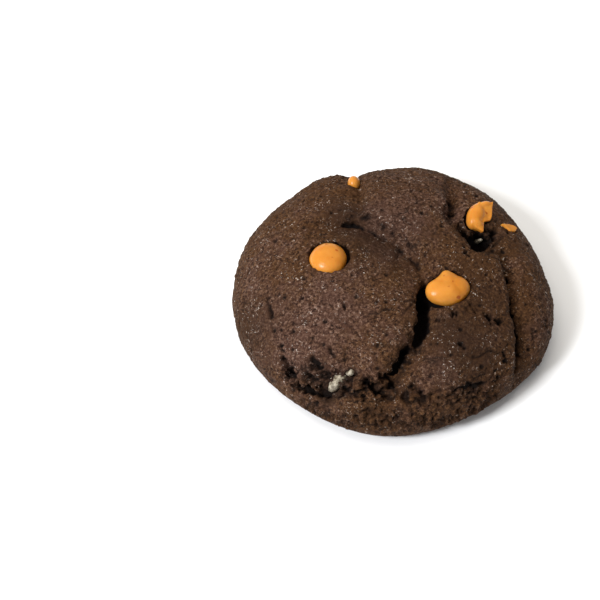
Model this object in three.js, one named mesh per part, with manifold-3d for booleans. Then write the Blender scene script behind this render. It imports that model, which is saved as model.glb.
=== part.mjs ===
import * as THREE from 'three';
import { ImprovedNoise } from 'three/addons/math/ImprovedNoise.js';
import { mergeVertices } from 'three/addons/utils/BufferGeometryUtils.js';
import Module from 'manifold-3d';

// A thick, soft, stuffed cookie of dark cocoa dough. Its top has cracked into plates, orange baking
// chips sit sunk in the cracks, and the pale filling breaks through the crust at the front.
// Millimetres, +Z up, the front faces -Y, and the base stands on Z = 0.

// Overall form: a low dome on a rounded foot, with a slightly uneven round outline
const RIM_RADIUS = 42;
const HEIGHT = 24;
const WAIST_HEIGHT = 6;
const FOOT_SHARE = 0.9;
const DOME_POWER = 2.4;

// Unevenness of the outline: waves round the rim, their height as a share of the radius, and the
// bearing of a crest in degrees from +X towards +Y
const RIM_WAVES = [
  { count: 2, share: 0.009, bearing: 35 },
  { count: 3, share: 0.011, bearing: -51 },
  { count: 4, share: 0.019, bearing: -19 },
  { count: 5, share: 0.009, bearing: -14 },
  { count: 6, share: 0.0045, bearing: 27 },
];

// The base stands on a flat square patch: how far its corners lie from the middle, to the right, left,
// back and front, how far its edges are drawn in, and how far the rest of the base is off the ground
const PATCH_RADIUS = 33;
const PATCH_MARGIN = 2;
const BASE_RISE = 0.3;

// Clearance between the dough and each piece that is sunk in it
const CLEARANCE = 0.3;

// Shares of the ball's polar angle that become the dome and the rounded foot
const DOME_END = 0.66 * Math.PI;
const FOOT_END = 0.75 * Math.PI;
const DOUGH_DETAIL = 17;

// Distance each way over which the slope of the dome is taken
const SLOPE_STEP = 0.5;

// Plates that stand proud or low: plan position of the middle, rise and spread
const SWELLS = [
  { at: [-14, -13], rise: 1.1, spread: 15 },
  { at: [5, 19.5], rise: 0.7, spread: 12 },
  { at: [16.5, -24], rise: 0.8, spread: 9 },
  { at: [35, -3], rise: 0.7, spread: 7 },
  { at: [-17, 35], rise: 1.8, spread: 9 },
  { at: [-3, 36], rise: -1.1, spread: 7 },
  { at: [19, 35], rise: -0.5, spread: 8 },
];

// Seams between the plates, as plan points from end to end. The crust rolls down into each seam by
// roll, over one width on the left of the way along it and another on the right, and drops by a
// further depth within width. The plate on the left stands a step higher than the one on the right.
const SEAMS = [
  {
    plan: [
      [-15.5, 12.7], [-12.2, 12.7], [-8.5, 12.4], [-4.9, 9.8], [-1.6, 7.2], [1.4, 4.4], [3.8, 1.1],
      [5.7, -1.8], [6.9, -5.6],
    ],
    depth: 1.5, width: 2, roll: 2.1, rollLeft: 2.4, rollRight: 6, step: 1.4,
  },
  {
    plan: [[7, -5.5], [6.9, -10.6], [6.8, -16], [6, -21], [3.4, -26.5], [0.2, -31.5], [-2.8, -35.5]],
    depth: 1, width: 2, roll: 2.3, rollLeft: 5.5, rollRight: 3, step: -1.2,
  },
  {
    plan: [
      [15.6, 27], [16, 19.5], [14.4, 14.5], [17.2, 10.3], [20, 6.2], [21.8, 4.2], [24.2, 4.6], [26.4, 4.6],
      [28.1, 3.4], [28.9, 1.4], [29.4, -3.1], [29.8, -10.6], [30.6, -17.2], [31.4, -22.4], [31, -28],
    ],
    depth: 1.7, width: 2, roll: 1.5, rollLeft: 4, rollRight: 2, step: -0.9,
  },
  {
    plan: [[-8.5, 41.5], [-8.4, 31.3], [-8.3, 24.5], [-8.4, 17.6], [-8.8, 12.6]],
    depth: 0.9, width: 2, roll: 1.1, rollLeft: 3, rollRight: 5, step: 1.6,
  },
  {
    plan: [
      [-29.6, -25.4], [-26.8, -29.7], [-23.8, -33], [-18.3, -35.2], [-9, -36], [2.5, -38.7], [10, -38.2],
      [30.5, -27],
    ],
    depth: 0.9, width: 2, roll: 0.3, rollLeft: 3, rollRight: 3, step: 0,
  },
  {
    plan: [[-29.6, -25.4], [-28.6, -27.2], [-26.8, -30], [-23.8, -33.2], [-21.3, -34.6], [-18.3, -35.4]],
    depth: 1.8, width: 1.5, roll: 0.3, rollLeft: 2, rollRight: 2, step: 0,
  },
];
const STEP_BLEND = 1.6;
const STEP_REACH = 8;
const SEAM_TAPER = 0.12;
const SEAM_SAMPLES = 120;

// Open cracks that run deep below the crust: plan points, half width where widest, the share of the
// length at which that is, and the level of the floor
const CRACKS = [
  {
    plan: [[8.2, -5.6], [7, -10.8], [6.8, -16], [6.3, -20], [5.2, -23.5], [3.6, -26.5]],
    halfWidth: 2.1, widestAt: 0.62, floor: 14.8,
  },
  {
    plan: [[4.2, -23.5], [1.6, -27.5], [-0.8, -31.2], [-2.6, -33.8], [-3.8, -35.6]],
    halfWidth: 0.8, widestAt: 0.5, floor: 14,
  },
  {
    plan: [[23.6, 12.6], [23.2, 10], [22.7, 6.6], [22.4, 3.6]],
    halfWidth: 2.4, widestAt: 0.5, floor: 14.5,
  },
  {
    plan: [
      [24, 4.6], [26.4, 4.6], [28.1, 3.4], [28.9, 1.4], [29.4, -3.1], [29.8, -10.6], [30.6, -17.2],
      [31.4, -22.4], [31, -28],
    ],
    halfWidth: 0.75, widestAt: 0.55, floor: 7,
  },
  {
    plan: [[-14.5, 12.8], [-12.2, 12.7], [-10.3, 12.7], [-8.3, 12.3]],
    halfWidth: 0.6, widestAt: 0.5, floor: 18.5,
  },
  {
    plan: [[14.6, 17.4], [16.6, 14.8], [18, 12.2], [19.4, 9.6], [21.4, 7]],
    halfWidth: 0.6, widestAt: 0.65, floor: 17.5,
  },
];
const CRACK_SAMPLES = 14;
const CRACK_TOP = HEIGHT + 4;

// Crumbly relief, strongest in the broken band above the front lip
const CRUMB_RELIEF = 0.22;
const CRUMB_LENGTH = 4.5;
const CRAG_RELIEF = 1.1;
const CRAG_LENGTH = 3.2;
const CRAG_SEAM = 4;
const CRAG_REACH = 4;

// The crust stays smooth below this level and carries its full relief above the second one
const SMOOTH_BELOW = 1;
const RELIEF_ABOVE = 5;

// Chips: plan position, tilt in degrees about the chip's own X, and the lumps that it is fused from,
// in its own axes along the crust and outward. A ball has a middle, half sizes and a turn in degrees.
// A slab has an outline between a low and a high level.
const CHIPS = [
  {
    name: 'chip_left', at: [-17.6, -0.3], tilt: 0,
    balls: [{ middle: [0.1, -0.6, -0.7], half: [4.8, 5, 3.3], turn: 20 }],
    slabs: [],
  },
  {
    name: 'chip_middle', at: [12.9, -10.5], tilt: 0,
    balls: [
      { middle: [-0.3, -0.3, -1.3], half: [5.5, 3.9, 3.2], turn: 6 },
      { middle: [0.2, 1.2, -1.2], half: [3.6, 3.8, 3], turn: 0 },
      { middle: [2, 0.6, -1.1], half: [3.7, 3.4, 2.9], turn: 0 },
      { middle: [-1.5, 1.5, -1.1], half: [2.4, 2.2, 2.4], turn: 30 },
      { middle: [-0.3, 3.4, -0.5], half: [1.6, 1.6, 1.6], turn: 0 },
    ],
    slabs: [],
  },
  {
    name: 'chip_right', at: [23.2, 15.6], tilt: 30,
    balls: [
      { middle: [-1.5, -0.5, 0.3], half: [2.3, 3.8, 2.5], turn: -12 },
      { middle: [-1.4, -2.5, 0.3], half: [2.5, 1.5, 2.4], turn: -30 },
      { middle: [-0.6, 0.3, -0.6], half: [2.2, 2.6, 2], turn: 0 },
    ],
    slabs: [
      {
        outline: [
          [-1.5, 3.3], [0.4, 3.2], [2.5, 4.3], [2.4, 2.4], [2.6, 0.2], [2.2, -1.2], [0.5, -2],
          [0.5, -5], [-1.6, -4.2], [-2.4, -3.2], [-2.7, -1.6], [-2.5, 0.4], [-2.1, 2.2],
        ],
        low: 0.6, high: 2,
      },
    ],
  },
  {
    name: 'chip_edge', at: [31.3, 14.6], tilt: 20,
    balls: [{ middle: [-0.2, -0.2, -0.9], half: [1.6, 0.9, 1.2], turn: -20 }],
    slabs: [
      {
        outline: [[-3.2, -0.4], [-0.7, 0.7], [0.7, 1], [2.1, 0.8], [1.6, -0.7], [-0.2, -1.5], [-1.9, -0.7]],
        low: -0.9, high: 0.7,
      },
    ],
  },
  {
    name: 'chip_back', at: [-10, 30.9], tilt: 0,
    balls: [{ middle: [0, -0.6, -1], half: [1.7, 2.2, 2.2], turn: 0 }],
    slabs: [],
  },
];
const BALL_DETAIL = 2;
const SLAB_BEVEL = 0.3;

// Filling: a lens through the middle of the cookie, and flat fingers that reach the crust from it. A
// finger's slant is the direction of its width, and it ends proud of the crust, or under it if negative.
const FILLING_RADIUS = 26;
const FILLING_HALF_THICKNESS = 4;
const FILLING_LEVEL = 10.5;
const FILLING_RINGS = 8;
const FILLING_SEGMENTS = 32;
const FINGERS = [
  {
    root: [-7.5, -16, 11], tip: [-16.8, -35],
    halfWidth: 3.2, halfHeight: 1.9, slant: [3.4, 2, 3], proud: 0.3,
  },
  {
    root: [-6.2, -17, 11], tip: [-12.5, -32.8],
    halfWidth: 1.5, halfHeight: 1.1, slant: [1, 0.4, 1.2], proud: 0.2,
  },
  {
    root: [19.5, 12.5, 10.8], tip: [24.6, 10.2],
    halfWidth: 0.7, halfHeight: 0.6, slant: [1, 0, 0.3], proud: -3.1,
  },
];
const FINGER_DETAIL = 2;
const FINGER_BLUNTNESS = 0.45;

// Colours, and how dull each kind of food is
const DOUGH_BROWN = 0x523a2c;
const CHIP_ORANGE = 0xe0913a;
const FILLING_CREAM = 0xcdbd98;
const DOUGH_ROUGHNESS = 0.75;
const CHIP_ROUGHNESS = 0.35;
const FILLING_ROUGHNESS = 0.45;

const RIGHT = new THREE.Vector3(1, 0, 0);
const UP = new THREE.Vector3(0, 0, 1);
const FULL_SIZE = new THREE.Vector3(1, 1, 1);
const noise = new ImprovedNoise();
const wasm = await Module();
wasm.setup();

/** Radius of the outline at the waist, for a bearing from +X towards +Y. */
function rimRadius(bearing) {
  let share = 1;
  for (const wave of RIM_WAVES) {
    share += wave.share * Math.cos(wave.count * (bearing - THREE.MathUtils.degToRad(wave.bearing)));
  }
  return RIM_RADIUS * share;
}

/** Point of the plain dome, foot or base that a direction of the unit ball maps to. */
function skinPoint(direction) {
  const polar = direction.angleTo(UP);
  const bearing = Math.atan2(direction.y, direction.x);
  let share;
  let level = BASE_RISE;
  if (polar < DOME_END) {
    const fall = (polar / DOME_END) * (Math.PI / 2);
    share = Math.sin(fall) ** (2 / DOME_POWER);
    level = WAIST_HEIGHT + (HEIGHT - WAIST_HEIGHT) * Math.cos(fall);
  } else if (polar < FOOT_END) {
    const tuck = ((polar - DOME_END) / (FOOT_END - DOME_END)) * (Math.PI / 2);
    share = FOOT_SHARE + (1 - FOOT_SHARE) * Math.cos(tuck);
    level = WAIST_HEIGHT + (BASE_RISE - WAIST_HEIGHT) * Math.sin(tuck);
  } else {
    share = (FOOT_SHARE * (Math.PI - polar)) / (Math.PI - FOOT_END);
  }
  const radius = share * rimRadius(bearing);
  return new THREE.Vector3(radius * Math.cos(bearing), radius * Math.sin(bearing), level);
}

/** Point of the plain dome above a plan position. */
function crustPoint([x, y]) {
  const share = Math.min(1, Math.hypot(x, y) / rimRadius(Math.atan2(y, x)));
  const level = WAIST_HEIGHT + (HEIGHT - WAIST_HEIGHT) * Math.sqrt(1 - share ** DOME_POWER);
  return new THREE.Vector3(x, y, level);
}

/** Outward normal of the plain dome above a plan position, from its slope each way. */
function crustNormal([x, y]) {
  const alongX = crustPoint([x + SLOPE_STEP, y]).sub(crustPoint([x - SLOPE_STEP, y]));
  const alongY = crustPoint([x, y + SLOPE_STEP]).sub(crustPoint([x, y - SLOPE_STEP]));
  return alongX.cross(alongY).normalize();
}

/** Evenly spaced points along a smooth line through plan points, laid on the plain dome. */
function crustPath(plan, samples) {
  const curve = new THREE.CatmullRomCurve3(plan.map(crustPoint));
  return curve.getSpacedPoints(samples).map((point) => crustPoint([point.x, point.y]));
}

/** Distance from a point to a path, the share of the path before the nearest sample, and the side. */
function nearestOnPath(point, path) {
  let distance = Infinity;
  let nearest = 0;
  path.forEach((sample, index) => {
    const reach = sample.distanceTo(point);
    if (reach < distance) {
      distance = reach;
      nearest = index;
    }
  });
  const before = path[Math.max(0, nearest - 1)];
  const after = path[Math.min(path.length - 1, nearest + 1)];
  const turn = (after.x - before.x) * (point.y - before.y) - (after.y - before.y) * (point.x - before.x);
  return { distance, along: nearest / (path.length - 1), onLeft: turn > 0 };
}

/** How far the crust rises, or falls if negative, at a point of the plain dome. */
function reliefAt(point, seamPaths) {
  let rise = 0;
  for (const swell of SWELLS) {
    const distance = crustPoint(swell.at).distanceTo(point);
    rise += swell.rise * Math.exp(-((distance / swell.spread) ** 2));
  }
  let dip = 0;
  SEAMS.forEach((seam, index) => {
    const { distance, along, onLeft } = nearestOnPath(point, seamPaths[index]);
    const rollWidth = onLeft ? seam.rollLeft : seam.rollRight;
    const taper = Math.min(1, along / SEAM_TAPER, (1 - along) / SEAM_TAPER);
    const core = seam.depth * taper * Math.exp(-((distance / seam.width) ** 2));
    const shoulder = seam.roll * Math.exp(-((distance / rollWidth) ** 2));
    dip = Math.max(dip, core + shoulder);
    const side = Math.tanh((onLeft ? distance : -distance) / STEP_BLEND);
    rise += (seam.step / 2) * side * taper * Math.exp(-((distance / STEP_REACH) ** 2));
  });
  const crag = nearestOnPath(point, seamPaths[CRAG_SEAM]);
  const cragShare = Math.exp(-((crag.distance / CRAG_REACH) ** 2));
  const crumb = CRUMB_RELIEF * noiseAt(point, CRUMB_LENGTH);
  const broken = CRAG_RELIEF * cragShare * noiseAt(point, CRAG_LENGTH);
  return rise - dip + crumb + broken;
}

/** Smooth noise from about -1 to 1 with bumps of the given length. */
function noiseAt(point, length) {
  return noise.noise(point.x / length, point.y / length, point.z / length);
}

/** Geometry with only shared positions, ready for joining and cutting. */
function sharedPoints(geometry) {
  geometry.deleteAttribute('normal');
  geometry.deleteAttribute('uv');
  return mergeVertices(geometry);
}

/** Moves every vertex of a geometry to the point that a function gives for it. */
function moveVertices(geometry, move) {
  const positions = geometry.attributes.position;
  const vertex = new THREE.Vector3();
  for (let index = 0; index < positions.count; index += 1) {
    vertex.fromBufferAttribute(positions, index);
    const moved = move(vertex, index);
    positions.setXYZ(index, moved.x, moved.y, moved.z);
  }
  return geometry;
}

/** Moves the whole surface outwards along its normals. */
function inflate(geometry, distance) {
  const grown = geometry.clone();
  grown.computeVertexNormals();
  const normal = new THREE.Vector3();
  return moveVertices(grown, (vertex, index) => {
    normal.fromBufferAttribute(grown.attributes.normal, index);
    return vertex.addScaledVector(normal, distance);
  });
}

/** Solid for joining and cutting, from a closed geometry. */
function toSolid(geometry) {
  const shared = sharedPoints(geometry.clone());
  const vertProperties = new Float32Array(shared.attributes.position.array);
  const triVerts = new Uint32Array(shared.index.array);
  return new wasm.Manifold(new wasm.Mesh({ numProp: 3, vertProperties, triVerts }));
}

/** Geometry of a solid that was joined or cut. */
function fromSolid(solid) {
  const { vertProperties, triVerts } = solid.getMesh();
  const geometry = new THREE.BufferGeometry();
  geometry.setAttribute('position', new THREE.BufferAttribute(vertProperties, 3));
  geometry.setIndex(new THREE.BufferAttribute(triVerts, 1));
  geometry.computeVertexNormals();
  return geometry;
}

/** The dough's outer skin: a ball drawn out to the dome, then given its plates, seams and crags. */
function doughSkin() {
  const skin = sharedPoints(new THREE.IcosahedronGeometry(1, DOUGH_DETAIL));
  moveVertices(skin, skinPoint);
  skin.computeVertexNormals();
  const seamPaths = SEAMS.map((seam) => crustPath(seam.plan, SEAM_SAMPLES));
  const normal = new THREE.Vector3();
  return moveVertices(skin, (vertex, index) => {
    normal.fromBufferAttribute(skin.attributes.normal, index);
    const fade = THREE.MathUtils.smoothstep(vertex.z, SMOOTH_BELOW, RELIEF_ABOVE);
    return vertex.addScaledVector(normal, fade * reliefAt(vertex.clone(), seamPaths));
  });
}

/** Index of the vertex that lies nearest to a place. */
function nearestVertex(positions, place) {
  const vertex = new THREE.Vector3();
  let distance = Infinity;
  let nearest = 0;
  for (let index = 0; index < positions.count; index += 1) {
    const reach = vertex.fromBufferAttribute(positions, index).distanceTo(place);
    if (reach < distance) {
      distance = reach;
      nearest = index;
    }
  }
  return nearest;
}

/** Lowers the patch of the base that the cookie stands on to the ground, out to its four corners. */
function lowerPatch(skin) {
  const positions = skin.attributes.position;
  for (let index = 0; index < positions.count; index += 1) {
    const reach = Math.abs(positions.getX(index)) + Math.abs(positions.getY(index));
    if (positions.getZ(index) < SMOOTH_BELOW && reach < PATCH_RADIUS - PATCH_MARGIN) {
      positions.setZ(index, 0);
    }
  }
  for (const side of [-PATCH_RADIUS, PATCH_RADIUS]) {
    positions.setZ(nearestVertex(positions, new THREE.Vector3(side, 0, BASE_RISE)), 0);
    positions.setZ(nearestVertex(positions, new THREE.Vector3(0, side, BASE_RISE)), 0);
  }
  return skin;
}

/** An upright blade in the shape of an open crack, pointed at both ends. */
function crackBlade({ plan, halfWidth, widestAt, floor }) {
  const path = crustPath(plan, CRACK_SAMPLES);
  const skew = Math.log(0.5) / Math.log(widestAt);
  const leftEdge = [];
  const rightEdge = [];
  for (let index = 1; index < CRACK_SAMPLES; index += 1) {
    const before = path[index - 1];
    const after = path[index + 1];
    const across = new THREE.Vector2(before.y - after.y, after.x - before.x).normalize();
    const half = halfWidth * Math.sin(Math.PI * (index / CRACK_SAMPLES) ** skew);
    const middle = new THREE.Vector2(path[index].x, path[index].y);
    leftEdge.push(middle.clone().addScaledVector(across, half));
    rightEdge.unshift(middle.clone().addScaledVector(across, -half));
  }
  const first = new THREE.Vector2(path[0].x, path[0].y);
  const last = new THREE.Vector2(path[CRACK_SAMPLES].x, path[CRACK_SAMPLES].y);
  const outline = new THREE.Shape([first, ...rightEdge.reverse(), last, ...leftEdge.reverse()]);
  const blade = new THREE.ExtrudeGeometry(outline, { depth: CRACK_TOP - floor, bevelEnabled: false });
  return blade.translate(0, 0, floor);
}

/** A rounded lump of a chip, in the chip's own axes. */
function ballGeometry({ middle, half, turn }) {
  const ball = sharedPoints(new THREE.IcosahedronGeometry(1, BALL_DETAIL));
  ball.scale(...half);
  ball.rotateZ(THREE.MathUtils.degToRad(turn));
  return ball.translate(...middle);
}

/** A flat lump of a chip with bevelled edges, in the chip's own axes. */
function slabGeometry({ outline, low, high }) {
  const shape = new THREE.Shape(outline.map(([x, y]) => new THREE.Vector2(x, y)));
  const slab = new THREE.ExtrudeGeometry(shape, {
    depth: high - low - 2 * SLAB_BEVEL,
    bevelThickness: SLAB_BEVEL,
    bevelSize: SLAB_BEVEL,
    bevelOffset: -SLAB_BEVEL,
    bevelSegments: 1,
  });
  return sharedPoints(slab.translate(0, 0, low + SLAB_BEVEL));
}

/** A chip where it is sunk in the crust: its lumps, each first grown by a distance, joined into one. */
function chipSolid({ at, tilt, balls, slabs }, growth) {
  const turn = new THREE.Quaternion().setFromUnitVectors(UP, crustNormal(at));
  turn.multiply(new THREE.Quaternion().setFromAxisAngle(RIGHT, THREE.MathUtils.degToRad(tilt)));
  const place = new THREE.Matrix4().compose(crustPoint(at), turn, FULL_SIZE);
  const lumps = [...balls.map(ballGeometry), ...slabs.map(slabGeometry)];
  const solids = lumps.map((lump) => toSolid(inflate(lump, growth).applyMatrix4(place)));
  return solids.reduce((whole, solid) => whole.add(solid));
}

/** The lens of filling, as a flattened ball of revolution. */
function lensGeometry() {
  const profile = [];
  for (let ring = 0; ring <= FILLING_RINGS; ring += 1) {
    const polar = (ring / FILLING_RINGS) * Math.PI;
    const radius = ring === FILLING_RINGS ? 0 : FILLING_RADIUS * Math.sin(polar);
    profile.push(new THREE.Vector2(radius, -FILLING_HALF_THICKNESS * Math.cos(polar)));
  }
  const lens = new THREE.LatheGeometry(profile, FILLING_SEGMENTS);
  lens.rotateX(Math.PI / 2);
  return lens.translate(0, 0, FILLING_LEVEL);
}

/** A flat, blunt finger of filling from the lens to the crust. */
function fingerGeometry({ root, tip, halfWidth, halfHeight, slant, proud }) {
  const start = new THREE.Vector3(...root);
  const end = crustPoint(tip).addScaledVector(crustNormal(tip), proud);
  const along = end.clone().sub(start);
  const halfLength = along.length() / 2;
  along.normalize();
  const thin = along.clone().cross(new THREE.Vector3(...slant)).normalize();
  const wide = thin.clone().cross(along);
  const finger = sharedPoints(new THREE.IcosahedronGeometry(1, FINGER_DETAIL));
  moveVertices(finger, (vertex) => {
    const blunt = Math.sign(vertex.z) * Math.abs(vertex.z) ** FINGER_BLUNTNESS;
    return vertex.set(vertex.x * halfWidth, vertex.y * halfHeight, blunt * halfLength);
  });
  finger.applyMatrix4(new THREE.Matrix4().makeBasis(wide, thin, along));
  const middle = start.add(end).multiplyScalar(0.5);
  return finger.translate(middle.x, middle.y, middle.z);
}

/** The filling's pieces joined into one solid, each first grown by a distance. */
function fillingSolid(growth) {
  const lens = sharedPoints(lensGeometry());
  let solid = toSolid(inflate(lens, growth));
  for (const finger of FINGERS) {
    solid = solid.add(toSolid(inflate(fingerGeometry(finger), growth)));
  }
  return solid;
}

/** The dough: its skin with the cracks, the chips' sockets and the filling's space cut out. */
function doughGeometry() {
  let solid = toSolid(lowerPatch(doughSkin()));
  for (const crack of CRACKS) {
    solid = solid.subtract(toSolid(crackBlade(crack)));
  }
  for (const chip of CHIPS) {
    solid = solid.subtract(chipSolid(chip, CLEARANCE));
  }
  solid = solid.subtract(fillingSolid(CLEARANCE));
  return fromSolid(solid);
}

/** A finish with the colour and roughness of one kind of food. */
function foodMaterial(color, roughness) {
  return new THREE.MeshStandardMaterial({ color, roughness, metalness: 0 });
}

const cookie = new THREE.Group();

const dough = new THREE.Mesh(doughGeometry(), foodMaterial(DOUGH_BROWN, DOUGH_ROUGHNESS));
dough.name = 'cookie_body';
cookie.add(dough);

for (const chip of CHIPS) {
  const mesh = new THREE.Mesh(fromSolid(chipSolid(chip, 0)), foodMaterial(CHIP_ORANGE, CHIP_ROUGHNESS));
  mesh.name = chip.name;
  cookie.add(mesh);
}

const filling = new THREE.Mesh(fromSolid(fillingSolid(0)), foodMaterial(FILLING_CREAM, FILLING_ROUGHNESS));
filling.name = 'filling';
cookie.add(filling);

export default cookie;
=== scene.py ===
"""Dresses a thick, stuffed chocolate cookie: cracked cocoa dough, orange chips and a pale filling."""

import itertools
import logging
import math
from collections.abc import Callable, Iterable, Sequence
from dataclasses import dataclass
from enum import Enum
from functools import partial

import bmesh
import bpy
import numpy as np
from mathutils import Matrix, Vector, noise


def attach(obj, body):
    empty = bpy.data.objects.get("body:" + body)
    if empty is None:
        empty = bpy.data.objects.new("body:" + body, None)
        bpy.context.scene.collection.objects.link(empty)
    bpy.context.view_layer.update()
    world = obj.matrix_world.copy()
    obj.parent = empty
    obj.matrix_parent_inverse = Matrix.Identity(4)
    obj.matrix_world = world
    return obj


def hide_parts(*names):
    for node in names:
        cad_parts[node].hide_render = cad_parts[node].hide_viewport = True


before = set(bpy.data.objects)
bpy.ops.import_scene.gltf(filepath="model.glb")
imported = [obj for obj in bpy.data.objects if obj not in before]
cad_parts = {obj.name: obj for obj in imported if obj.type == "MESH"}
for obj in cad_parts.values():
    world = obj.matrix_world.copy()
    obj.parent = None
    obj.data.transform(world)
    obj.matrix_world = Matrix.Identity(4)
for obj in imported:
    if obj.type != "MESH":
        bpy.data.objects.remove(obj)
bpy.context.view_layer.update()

LOG = logging.getLogger("cookie")

MM = 0.001
BODY = "root"
BLACK = (0.0, 0.0, 0.0, 1.0)
WHITE = (1.0, 1.0, 1.0, 1.0)
CALM = (0.6, 0.6, 0.6, 1.0)

Array = np.ndarray
Socket = bpy.types.NodeSocket
Pair = tuple[float, float]
Triple = tuple[float, float, float]
Plan = tuple[Pair, ...]
Colour = tuple[float, float, float, float]
Relief = tuple[Array, Array]


class Slot(Enum):
    """Names of the material slots."""

    DOUGH = "dough"
    CHIP = "chip"
    FILLING = "filling"


class Layer(Enum):
    """Numbers that the dough keeps at each vertex for its finish."""

    # Painted shade in cracks, pits, pores, crumb holes and round the chips
    HOLLOW_SHADE = "hollow_shade"
    # Painted shade on plates that face away from the lights, in recesses and low on the side
    PAINTED_SHADE = "painted_shade"
    # Tint that differs at random, with painted sheen: greyer, paler red-brown where the front light catches
    # the crust
    SHEEN_TINT = "sheen_tint"


class Pattern(float, Enum):
    """Offsets that give each kind of noise a pattern of its own."""

    PATCH = 1.0
    CREAM = 2.0
    LUMP = 3.0
    SMALL_LUMP = 5.0
    CRACK = 7.0
    GRAIN = 13.0
    SOCKET = 17.0
    PORE = 29.0
    PIT = 41.0
    PLATE = 53.0
    HAIRLINE = 61.0
    SEAM = 71.0


def smoothstep(values: Array, low: float, high: float) -> Array:
    """Eases values from 0 at low to 1 at high.

    Args:
        values: numbers to ease.
        low: where the rise starts.
        high: where the rise ends, which may lie below low.

    Returns:
        Numbers from 0 to 1.
    """
    share = np.clip((values - low) / (high - low), 0.0, 1.0)
    return share * share * (3.0 - 2.0 * share)


def bump_field(points: Array, length: float, octaves: int = 1, shift: float = 0.0) -> Array:
    """Smooth noise with bumps of one length.

    Args:
        points: places in millimetres, one row each.
        length: size of the largest bumps in millimetres.
        octaves: how many finer layers are added, each half as large.
        shift: offset that gives another pattern.

    Returns:
        One number a point, mostly from -1 to 1.
    """
    scaled = points / length + shift
    return np.array([noise.fractal(Vector(row), 1.0, 2.0, octaves) for row in scaled])


def wander(points: Array, reach: float, length: float, octaves: int) -> Array:
    """Noise that moves points each way, to make lines and edges ragged.

    Args:
        points: places in millimetres, one row each.
        reach: how far they move, in millimetres.
        length: size of the largest turns in millimetres.
        octaves: how many finer layers are added.

    Returns:
        One movement a point, in millimetres.
    """
    shifts = (11.0, 23.0, 37.0)
    return np.column_stack([reach * bump_field(points, length, octaves, shift) for shift in shifts])


@dataclass(frozen=True)
class Cells:
    """Distances to the two nearest of many scattered seeds, and a number that each seed picks."""

    nearest: Array
    second: Array
    pick: Array

    def seams(self, width: float) -> Array:
        """Share that is 1 where two cells meet and 0 beyond a width."""
        return smoothstep(self.second - self.nearest, width, 0.0)


def cells(points: Array, size: float, shift: float) -> Cells:
    """Scatters one seed in each cube of a grid and measures to the nearest.

    Args:
        points: places in millimetres, one row each.
        size: side of a cube in millimetres.
        shift: offset that gives another pattern.

    Returns:
        Distances in millimetres, and a number from 0 to 1 for the nearest seed.
    """
    scaled = points / size + shift
    home = np.floor(scaled)
    nearest = np.full(len(points), np.inf)
    second = np.full(len(points), np.inf)
    pick = np.zeros(len(points))
    mix = np.array([[127.1, 311.7, 74.7], [269.5, 183.3, 246.1], [113.5, 271.9, 124.6]])
    scramble = 43758.5453
    for offset in itertools.product((-1.0, 0.0, 1.0), repeat=3):
        cube = home + np.array(offset)
        draw = np.sin(cube @ mix.T) * scramble
        draw -= np.floor(draw)
        distance = np.linalg.norm(cube + draw - scaled, axis=1)
        closer = distance < nearest
        second = np.where(closer, nearest, np.minimum(second, distance))
        pick = np.where(closer, draw[:, 0], pick)
        nearest = np.minimum(nearest, distance)
    return Cells(nearest * size, second * size, pick)


def smooth_path(plan: Plan, samples: int = 200) -> Array:
    """Points along a smooth line through plan points.

    Args:
        plan: the points that the line passes through, in millimetres.
        samples: how many points are wanted.

    Returns:
        Plan points, evenly spaced, one row each.
    """
    fineness = 24
    knots = np.array(plan)
    padded = np.vstack([2 * knots[0] - knots[1], knots, 2 * knots[-1] - knots[-2]])
    steps = np.linspace(0.0, 1.0, fineness, endpoint=False)[:, None]
    pieces = []
    for before, start, end, after in zip(padded, padded[1:], padded[2:], padded[3:]):
        slope = (end - before) / 2
        next_slope = (after - start) / 2
        rise = 3 * (end - start) - 2 * slope - next_slope
        bend = 2 * (start - end) + slope + next_slope
        pieces.append(start + slope * steps + rise * steps**2 + bend * steps**3)
    dense = np.vstack([*pieces, knots[-1:]])
    lengths = np.concatenate([[0.0], np.cumsum(np.linalg.norm(np.diff(dense, axis=0), axis=1))])
    wanted = np.linspace(0.0, lengths[-1], samples)
    return np.stack([np.interp(wanted, lengths, dense[:, axis]) for axis in (0, 1)], axis=1)


@dataclass(frozen=True)
class Nearness:
    """How points lie to a path: distance, share of the way along, side and the way across."""

    distance: Array
    along: Array
    side: Array
    across: Array

    def ends(self, taper: float) -> Array:
        """Share that fades to 0 at both ends of the path."""
        return np.minimum(1.0, np.minimum(self.along, 1 - self.along) / taper)


def nearness(points: Array, path: Array) -> Nearness:
    """Finds where points lie to a path.

    Args:
        points: places, one row each, with two or three numbers.
        path: places along the path, with as many numbers each.

    Returns:
        The nearest distance, the share of the path before it, the side in plan (1 left of someone
        who walks along it, -1 right) and the plan direction across the path, to its left.
    """
    batch = 20000
    nearest = np.empty(len(points), dtype=int)
    for start in range(0, len(points), batch):
        part = points[start:start + batch]
        squares = (path**2).sum(1)[None] - 2 * part @ path.T
        nearest[start:start + batch] = squares.argmin(1)
    last = len(path) - 1
    ahead = path[np.minimum(nearest + 1, last)] - path[np.maximum(nearest - 1, 0)]
    ahead = ahead[:, :2] / np.linalg.norm(ahead[:, :2], axis=1, keepdims=True)
    across = np.stack([-ahead[:, 1], ahead[:, 0]], axis=1)
    away = points - path[nearest]
    side = np.where((away[:, :2] * across).sum(1) > 0, 1.0, -1.0)
    return Nearness(np.linalg.norm(away, axis=1), nearest / last, side, across)


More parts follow.
